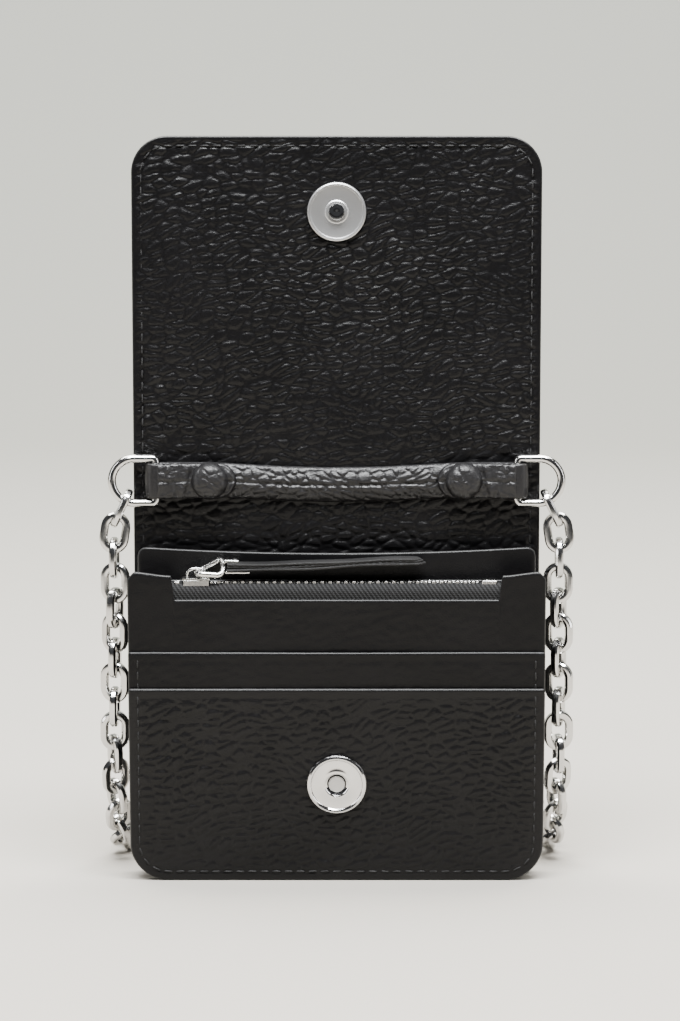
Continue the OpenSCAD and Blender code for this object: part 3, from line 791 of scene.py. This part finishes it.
def front_pockets():
    """The divider, the coin pocket's back, the wall with its ears, the card slot and the front pocket"""
    half, top = box("divider_panel")[1][[0, 2]]

    def sag(x, z, d):
        part = smooth((z - 60) / 30) * (1 - (x / half) ** 2)
        return x, z - 1.6 * part, d + 1.0 * part
    fine = grained(0.1, FINE)
    over_gusset = 1.2
    panel("divider", "wallet", ["divider_panel"], "leather_smooth", half, (over_gusset, top),
          leaned(DIVIDER_BACK, DIVIDER_LEAN, sag), DIVIDER_T, front=fine, back=fine, radii=(CORNER_R, 2.5),
          step=0.8, skins=[SMOOTH, RIM])
    half, top = box("coin_pocket_back")[1][[0, 2]]
    panel("coin_pocket_lining", "wallet", ["coin_pocket_back"], "leather_lining", half, (over_gusset, top),
          leaned(COIN_BACK, COIN_LEAN), COIN_T, front=fine, radii=(CORNER_R, 0), step=0.9,
          skins=[SMOOTH, EDGE])

    def with_ears(x, z, d):
        out = np.abs(x)
        dip = 1.2 * smooth((FRONT_HALF - out) / (FRONT_HALF - NOTCH_HALF))
        corner = 2.2 * smooth((out - 53.5) / 3.2) ** 2
        rise = (EAR_TOP - dip - corner - NOTCH_Z) * smooth((out - NOTCH_HALF + 0.3) / 1.1)
        return x, z + rise * smooth((z - 66) / (NOTCH_Z - 66)), d
    u = np.linspace(-1, 1, 181)
    near_notch = NOTCH_HALF / FRONT_HALF + np.linspace(-0.01, 0.02, 9)
    u = np.unique(np.concatenate([u, near_notch, -near_notch]))
    start = 0.1
    radii = (FRONT_CORNER_R, 0)
    shallow = grained(0.2, waves=0.15)
    panel("zip_wall", "wallet", ["front_wall"], "leather_smooth", FRONT_HALF, (start, NOTCH_Z),
          leaned(WALL_BACK, FRONT_LEAN, with_ears), WALL_T, front=shallow, radii=radii, step=0.6, columns=u,
          skins=[SMOOTH, RIM])
    span = (start, box_top("card_slot_panel"))

    def card_wave(x, z, d):
        return x, z, d + 0.25 * smooth((z - 50) / 14) * (1 + np.cos(x / 15))
    panel("card_slot", "wallet", ["card_slot_panel"], "leather_smooth", FRONT_HALF, span,
          leaned(SLOT_BACK, FRONT_LEAN, card_wave), SLOT_T, front=shallow, radii=radii, step=0.6,
          skins=[SMOOTH, RIM], seams=[seam(FRONT_HALF, span, FRONT_CORNER_R)])
    span = (start, box_top("front_pocket_panel"))
    fade_top = grained(0.48, fade=(0.4, 6.0), waves=0.2)
    panel("front_pocket", "wallet", ["front_pocket_panel"], "leather_outer", FRONT_HALF, span,
          leaned(POCKET_BACK, FRONT_LEAN), PANEL_T, front=fade_top, radii=radii, step=0.42,
          skins=[LEATHER, RIM, THREAD], seams=[seam(FRONT_HALF, span, FRONT_CORNER_R)])


def box_top(node):
    """A leaning panel's height along itself"""
    return box(node)[1][2] / math.cos(math.radians(FRONT_LEAN))


# ---------------------------------------------------------------- strap and rings
def strap_height(swell, seam_depth, grain=0.12, half=4.8, wrinkles=()):
    """A strap's face: swelling on both sides of a middle seam, with folds round its studs"""
    def height(across, along, rim):
        v = across / half
        h = swell * (1 - v**2) - seam_depth * np.exp(-((v / 0.09) ** 2))
        h = h + grain * (ROUND(along, across) - 0.7) * smooth(rim / 1.2)
        for at, turn, size in wrinkles:
            where = (along - at) + across * math.tan(math.radians(turn))
            h = h + size * np.sin(where * 2.4) * np.exp(-((where / 2.2) ** 2))
        return h * smooth((rim + 0.1) / 0.9)
    return height


def strap():
    low, high = band_low, band_high
    mid, half = (low[2] + high[2]) / 2, (high[2] - low[2]) / 2

    def place(across, along, d):
        droop = -1.4 * np.maximum(1 - (along / 36) ** 2, 0) ** 1.5
        return np.stack([along, high[1] - d, mid + across + droop], -1)
    panel("band", "spine", ["strap_band"], "leather_strap", half, (low[0], high[0]), place, high[1] - low[1],
          front=strap_height(1.6, 0.5, 0.42), step=0.33, skins=[STRAP, STRAP])
    for side, name in ((-1, "left"), (1, "right")):
        strap_end(side, name, mid, half)


def strap_end(side, name, mid, half):
    crease, flat, end = 46.0, 39.0, box("strap_tab_right")[0][0]
    near, far = -0.6, -2.0
    wrinkles = [(40.5, 12, 0.22), (44.5, -10, 0.2), (29.3, 20, 0.12)]
    length = 49.0

    def place(across, along, d):
        slope = smooth((along - flat) / (crease - flat))
        return np.stack([side * along, near + (far - near) * slope + STRAP_T - d, mid + across], -1)
    obj = panel("tab_" + name, None, [], "leather_strap", half, (end, length), place, STRAP_T,
                front=strap_height(0.75, 0.35, 0.3, wrinkles=wrinkles), radii=(half, 0), step=0.33,
                skins=[STRAP, STRAP])
    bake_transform(obj)
    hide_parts("strap_tab_" + name)
    # the strap's end round the ring's bar, in the tab's own leather; only shade makes it darker where it
    # bends
    r = RING_WIRE / 2 + 0.1 + STRAP_T / 2
    a = np.linspace(-math.pi / 2, math.pi / 2, 15)
    path = [[46.5, BAR_Y - r - 0.05], [48, BAR_Y - r]]
    path += [[BAR_X + r * math.cos(t), BAR_Y + r * math.sin(t)] for t in a] + [[46, BAR_Y + r]]
    path = np.column_stack([np.array(path), np.full(len(path), mid)])
    path[:, 0] *= side
    section = rounded_rect(2 * half, STRAP_T, 0.6, 4)
    section = np.concatenate([section, section[:1]])
    section = spread_section(section, 0.35)
    section[:, 1] += 0.25 * np.sign(section[:, 1]) * (1 - (section[:, 0] / half) ** 2)
    wrap = sweep(path, section, (0, 0, 1))
    solid("loop_" + name, "spine", ["strap_loop_" + name], STRAP, [wrap])
    dome(side, name, mid)
    ring(side, name)


def spread_section(section, step):
    """Adds points along a section's long straight sides"""
    points = []
    for a, b in zip(section, section[1:]):
        parts = max(1, int(np.linalg.norm(b - a) / step))
        points += [a + (b - a) * k / parts for k in range(parts)]
    return np.array(points)


def dome(side, name, mid):
    """A snap cap covered with leather, which puckers round its foot"""
    low, high = box("press_cap_" + name)
    r, tall = (high[2] - low[2]) / 2, high[1] - low[1]
    a = np.linspace(0, 1, 20)
    profile = [(0, -0.4), (r - 0.2, -0.4), (r + 0.15, 0.1)]
    for t in a * math.pi / 2:
        profile.append((r * math.cos(t) ** 0.75, 0.5 + (tall - 0.5) * math.sin(t)))
    profile[-1] = (0, tall)
    points, faces = revolve(profile, 72)
    angle = np.arctan2(points[:, 1], points[:, 0])
    reach = np.hypot(points[:, 0], points[:, 1]) / r
    pleat = 0.16 * np.sin(5 * angle + 0.8 * side) * np.sin(3 * angle + 1.1) * smooth((reach - 0.45) / 0.5)
    pebble = 0.26 * (ROUND(points[:, 0] + 40 * side, points[:, 1]) - 0.6)
    points[:, 2] += (pleat + pebble) * (points[:, 2] > 0.45)
    centre = [(low[0] + high[0]) / 2, high[1], mid]
    cap = (stand(points, centre), faces)
    solid("dome_" + name, "tab_" + name, ["press_cap_" + name], STRAP, [cap])


def ring(side, name):
    """A D of round wire"""
    mid = (ring_low + ring_high) / 2
    r = (ring_high[2] - ring_low[2] - RING_WIRE) / 2
    arc_x = ring_high[0] - RING_WIRE / 2 - r
    corner = 1.0
    a = np.linspace(math.pi / 2, -math.pi / 2, 25)
    arc = [[arc_x + r * math.cos(t), r * math.sin(t)] for t in a]
    turn = np.linspace(0, math.pi / 2, 6)
    low_corner = [[BAR_X + corner - corner * math.sin(t), corner - r - corner * math.cos(t)] for t in turn]
    high_corner = [[BAR_X + corner - corner * math.cos(t), r - corner + corner * math.sin(t)] for t in turn]
    path = np.array(arc + low_corner + high_corner)
    path = np.column_stack([side * path[:, 0], np.full(len(path), mid[1]), path[:, 1] + mid[2]])
    wire = sweep(path, circle(RING_WIRE / 2, 16), (0, 1, 0), closed=True)
    solid("ring_" + name + "_wire", "ring_" + name, ["d_ring_" + name], RING, [wire])


# ---------------------------------------------------------------- zip
def zip_tapes():
    """Two woven tapes that bend over from their walls to the teeth"""
    z = (teeth_low[2] + teeth_high[2]) / 2
    front = ((-7.3, 0), (-8.1, 0.05), (-8.9, -0.3), (-9.45, -1.2), (-9.55, -2.6), (-9.1, -9))
    rear = ((-6.5, 0), (-5.9, 0.05), (-5.2, -0.2), (-4.75, -1.0), (-4.65, -2.2), (-4.6, -9))
    for name, way in (("front", front), ("rear", rear)):
        line = spline([[0, a, z + b] for a, b in way], steps=40)
        along = np.concatenate([[0], np.cumsum(np.linalg.norm(np.diff(line, axis=0), axis=1))])
        sign = -1 if name == "front" else 1
        node = "zip_tape_" + name
        half = box(node)[1][0]

        def place(x, s, d, line=line, along=along, sign=sign):
            py, pz = np.interp(s, along, line[:, 1]), np.interp(s, along, line[:, 2])
            ty = np.interp(s + 0.05, along, line[:, 1]) - np.interp(s - 0.05, along, line[:, 1])
            tz = np.interp(s + 0.05, along, line[:, 2]) - np.interp(s - 0.05, along, line[:, 2])
            size = np.hypot(ty, tz) + 1e-9
            return np.stack([x, py + sign * -tz / size * (d - 0.3) * sign, pz + ty / size * (d - 0.3)], -1)

        def weave(x, s, rim):
            return 0.07 * np.sin((x + s * 0.8) * 2 * math.pi / 0.9) * np.cos(s * 2 * math.pi / 1.4)
        panel(node + "_cloth", "wallet", [node], "zip_tape", half, (0, along[-1]), place, 0.6, front=weave,
              back=weave, step=0.3, skins=[TAPE, TAPE])


def zip_teeth():
    """Each tooth is a bevelled block with a nub that reaches for the other row"""
    first = teeth_low[0] + TOOTH_W / 2
    z = (teeth_low[2] + teeth_high[2]) / 2
    for name, sign in (("front", -1), ("rear", 1)):
        shapes = []
        for i in range(TOOTH_COUNT):
            x = first + (i + (0.5 if sign > 0 else 0)) * TOOTH_PITCH
            tall = TOOTH_H if sign < 0 else TOOTH_H * (0.7 + 0.3 * smooth((x - 18) / 4))
            shapes.append(block((x, ZIP_Y + sign * 0.475, z), (TOOTH_W, 1.0, tall), 0.22))
            shapes.append(block((x, ZIP_Y - sign * 0.1, z), (0.6, 0.35, tall * 0.6), 0.15))
        node = "zip_teeth_" + name
        solid(node + "_row", "wallet", [node], ZIP, shapes, 35)
    low, high = box("zip_bottom_stop")
    size = high - low
    mid = (low + high) / 2
    solid("stop", "wallet", ["zip_bottom_stop"], ZIP, [block(mid, size, 0.4)], 35)
    low, high = box("zip_top_stops")
    mid = (low + high) / 2
    reach = (high[1] - low[1]) / 2 - 0.45
    clips = [block(mid + (0, s * reach, 0), (1.6, 0.9, 1.8), 0.3) for s in (-1, 1)]
    solid("end_clips", "wallet", ["zip_top_stops"], ZIP, clips, 35)


def slider():
    low, high = slider_low, slider_high
    x, y = (low[0] + high[0]) / 2, (low[1] + high[1]) / 2
    length, wide = high[0] - low[0], high[1] - low[1]
    plate = 0.8

    def shaped(z, w):
        """A plate that narrows at its middle, like a slider's Y"""
        n = 40
        t = np.arange(n) * 2 * math.pi / n
        px = length / 2 * np.sign(np.cos(t)) * np.abs(np.cos(t)) ** 0.45
        py = w / 2 * np.sign(np.sin(t)) * np.abs(np.sin(t)) ** 0.45 * (1 - 0.16 * np.exp(-((px / 1.6) ** 2)))
        rows = [(0.86, -plate / 2), (1.0, -plate / 4), (1.0, plate / 4), (0.84, plate / 2)]
        points = [np.column_stack([x + px * k, y + py * k, np.full(n, z + h)]) for k, h in rows]
        points = np.concatenate(points)
        faces = grid_quads(4, n, False, True).tolist()
        return points, faces + [list(range(n - 1, -1, -1)), list(range(3 * n, 4 * n))]
    shapes = [shaped(high[2] - plate / 2, wide), shaped(low[2] + plate / 2, wide * 0.82)]
    flange = high[2] - 2.3
    for s in (-1, 1):
        shapes.append(block((x, y + s * (wide / 2 - 0.25), flange + 0.9), (length * 0.86, 0.42, 1.6), 0.18))
    solid("slider_body", "slider", ["zip_slider"], ZIP, shapes, 35)
    low, high = box("slider_bail")
    mid = (low + high) / 2
    tall = high[2] - low[2]
    a = np.linspace(0, math.pi, 15)
    path = [[mid[0] - 2.5 * math.cos(t), mid[1], low[2] + (tall - 0.4) * math.sin(t) ** 0.55] for t in a]
    path = np.array(path)
    path[:, 2] = np.maximum(path[:, 2], low[2] - 0.2)
    bridge = sweep(path, rounded_rect(1.6, 0.75, 0.3), (0, 1, 0))
    solid("bail", "slider", ["slider_bail"], ZIP, [bridge], 35)


def pull():
    """A long eye, two prongs that grip the leather, and the folded strip itself"""
    rivet_low, rivet_high = box("puller_rivet")
    low, high = box("puller_strip")
    x, y = (slider_low[0] + slider_high[0]) / 2, ZIP_Y
    z, far = slider_high[2] + 1.1, low[0] - 0.9
    strip_z = (rivet_low[2] + rivet_high[2]) / 2
    rise = strip_z - z
    half, wire = 2.9, 0.85
    tilt = math.radians(40)
    a = np.linspace(-math.pi / 2, math.pi / 2, 11)
    path = [[x + 2.1 - 2.1 * math.cos(t), half * math.sin(t)] for t in a[::-1]]
    path += [[far - 1.7 + 1.7 * math.cos(t), half * math.sin(t)] for t in a]
    path = np.array(path)
    level = z + rise * (path[:, 0] - x) / (far - x)
    lean = smooth((path[:, 0] - x) / (far - x))
    path = np.column_stack([path[:, 0], y + path[:, 1] * np.cos(tilt * lean),
                            level + path[:, 1] * np.sin(tilt * lean)])
    eye = sweep(path, circle(wire, 12), (0, 0, 1), closed=True)
    upper = [[far, y, strip_z + 1.0], [far + 0.5, y, strip_z + 1.5], [far + 2.2, y, strip_z + 1.5],
             [far + 3.9, y, strip_z + 1.4]]
    lower = [[far, y, strip_z - 1.0], [far + 0.6, y, strip_z - 1.5], [far + 3.8, y, strip_z - 1.5],
             [far + 5.6, y, strip_z - 1.55], [far + 6.9, y, strip_z - 1.4]]
    prongs = [sweep(spline(p, steps=16), rounded_rect(2.4, 0.8, 0.3), (0, 1, 0)) for p in (upper, lower)]
    root = block((far - 0.1, y, strip_z), (0.8, 2.4, 3.0), 0.3)
    solid("pull_link", "pull", ["zip_pull_link"], ZIP, [eye, root] + prongs, 50)
    count = 60
    t = np.linspace(0, 1, count)
    layers = []
    for k, lift in enumerate((-0.75, 0, 0.75)):
        px = low[0] + (high[0] - low[0] - 0.6 * k) * t
        pz = strip_z + 1.6 * smooth((t - 0.15) / 0.85) + lift * (1 - 0.35 * t) + 0.12 * np.sin(px / 4 + 2 * k)
        line = np.column_stack([px, np.full(count, y), pz])
        section = rounded_rect(4.9 - 0.3 * (k == 1), 0.72, 0.3, 3)
        section = spread_section(np.concatenate([section, section[:1]]), 0.3)
        size = np.minimum(1, 0.35 + 4.0 * np.sqrt(np.maximum(1 - t, 0)))
        points, faces = sweep(line, section, (0, 1, 0), scale=size)
        points[:, 1] += 0.1 * np.sin(points[:, 0] * 3.1 + points[:, 2] * 9)
        layers.append((points, faces))
    solid("puller_leather", "pull", ["puller_strip"], FIBRE, layers, 60)
    mid = (rivet_low + rivet_high) / 2
    heads = []
    for s in (-1, 1):
        points, faces = revolve([(0, -0.3), (0.8, -0.3), (0.8, 0), (0.5, 0.25), (0, 0.32)], 20)
        if s < 0:
            points = points * (1, -1, -1)
        heads.append((points + mid + (0, 0, s * 1.88), faces))
    solid("rivet_heads", "pull", ["puller_rivet"], ZIP, heads, 35)


# ---------------------------------------------------------------- snaps
def snap_female():
    low, high = box("snap_female_cover")
    r = (high[0] - low[0]) / 2
    foot = leaned(0, FRONT_LEAN)(0.0, SNAP_Z, SNAP_DEPTH)
    cover = [(2.6, 0), (r - 0.3, 0), (r, 0.3), (r, 0.9), (r - 0.25, 1.3), (r - 0.7, 1.5), (r - 1.1, 1.4),
             (r - 1.35, 1.1), (r - 1.6, 1.05), (4.7, 1.35), (4.1, 1.42), (3.8, 1.5), (3.35, 1.5),
             (3.12, 1.35), (3.1, 0.6), (2.6, 0.3)]
    turned_on("female_cover", "wallet", ["snap_female_cover"], POLISHED, cover, foot, 96)
    button = [(0, 0.15), (2.25, 0.15), (2.3, 0.45), (2.1, 0.62), (1.6, 0.66), (0, 0.6)]
    turned_on("female_button", "wallet", ["snap_female_button"], SATIN, button, foot, 64)


def turned_on(name, body, nodes, material, profile, foot, n, lean=FRONT_LEAN):
    """A turned piece that stands on a face at its foot"""
    points, faces = revolve(profile + ([profile[0]] if profile[0][0] > 0 else []), n)
    solid(name, body, nodes, material, [(stand(points, foot, lean), faces)], 28)


def snap_male():
    low, high = box("snap_male_plate")
    r, thick = (high[0] - low[0]) / 2, high[1] - low[1]
    foot = np.array([0, high[1], (low[2] + high[2]) / 2])
    plate = [(0, 0), (r - 0.2, 0), (r, 0.2), (r, thick - 0.5), (r - 0.15, thick - 0.15), (r - 0.45, thick),
             (r - 0.8, thick - 0.05), (r - 1.0, thick - 0.3), (r - 1.25, thick - 0.36), (3.2, thick - 0.3),
             (2.9, thick - 0.12), (2.5, thick - 0.1), (0, thick - 0.1)]
    turned_on("male_plate", "flap", ["snap_male_plate"], SATIN, plate, foot, 96, 0)
    stud_low, stud_high = box("snap_male_stud")
    tall = stud_high[1] - stud_low[1]
    stud = [(0, -0.2), (2.1, -0.2), (2.2, 0.1), (2.2, tall - 0.3), (2.0, tall - 0.08), (1.6, tall),
            (0.6, tall - 0.05), (0, tall - 0.12)]
    foot = np.array([0, stud_high[1], foot[2]])
    turned_on("male_stud", "flap", ["snap_male_stud"], POLISHED, stud, foot, 64, 0)


def dress(material, *nodes):
    """Gives CAD pieces that stay as they are their material"""
    for node in nodes:
        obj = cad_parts[node]
        obj.data.materials.clear()
        obj.data.materials.append(material)


def room():
    """A pale floor that curves up behind into a plain wall; far in front, out of view, its material paints it
    near black as painted shade
    """
    bend = 0.7
    turn = np.linspace(0.1, math.pi / 2, 12)
    depth = np.concatenate([np.linspace(-2.4, 1.0, 14), 1.0 + bend * np.sin(turn), [1.7, 1.7]])
    rise = np.concatenate([np.zeros(14), bend - bend * np.cos(turn), [1.6, 2.8]])
    across = np.linspace(-2.4, 2.4, 8)
    points = [(x, y, z) for y, z in zip(depth, rise) for x in across]
    faces = grid_quads(len(depth), len(across)).tolist()
    obj = add_piece("floor", np.array(points) / MM, faces, [backdrop()])


def lights():
    world = bpy.data.worlds.new("studio")
    world.use_nodes = True
    sky = world.node_tree.nodes["Background"]
    sky.inputs["Color"].default_value = (0.9, 0.93, 1, 1)
    sky.inputs["Strength"].default_value = 0.07
    bpy.context.scene.world = world
    area_light("top_soft", (0.03, -0.3, 0.85), (0, -0.02, 0.12), (0.7, 0.22), 36, (0.98, 0.99, 1))
    area_light("front_high", (-0.1, -0.85, 1.0), (0, 0, 0.05), (0.7, 0.12), 12, (0.98, 0.99, 1))
    area_light("back_soft", (0, 0.45, 1.0), (0, 0.2, 0.0), (1.2, 0.4), 20, (1, 0.98, 0.95))
    area_light("left_strip", (-0.75, -0.25, 0.35), (0, 0, 0.1), (0.1, 0.7), 2.0)
    area_light("right_strip", (0.75, -0.25, 0.35), (0, 0, 0.1), (0.1, 0.7), 2.0)
    area_light("wall_wash", (0, 0.35, 1.7), (0, 1.5, 0.2), (2.4, 0.5), 100, (1, 0.98, 0.94))


camera()
chain()
room()
lights()
skins_of_the_case()
gusset()
front_pockets()
strap()
zip_tapes()
zip_teeth()
slider()
pull()
snap_female()
snap_male()
dress(SATIN, "snap_female_backplate", "snap_male_backplate")
dress(MAGNET, "snap_female_magnet")
dress(RING, "press_stud_left", "press_stud_right", "press_socket_left", "press_socket_right")
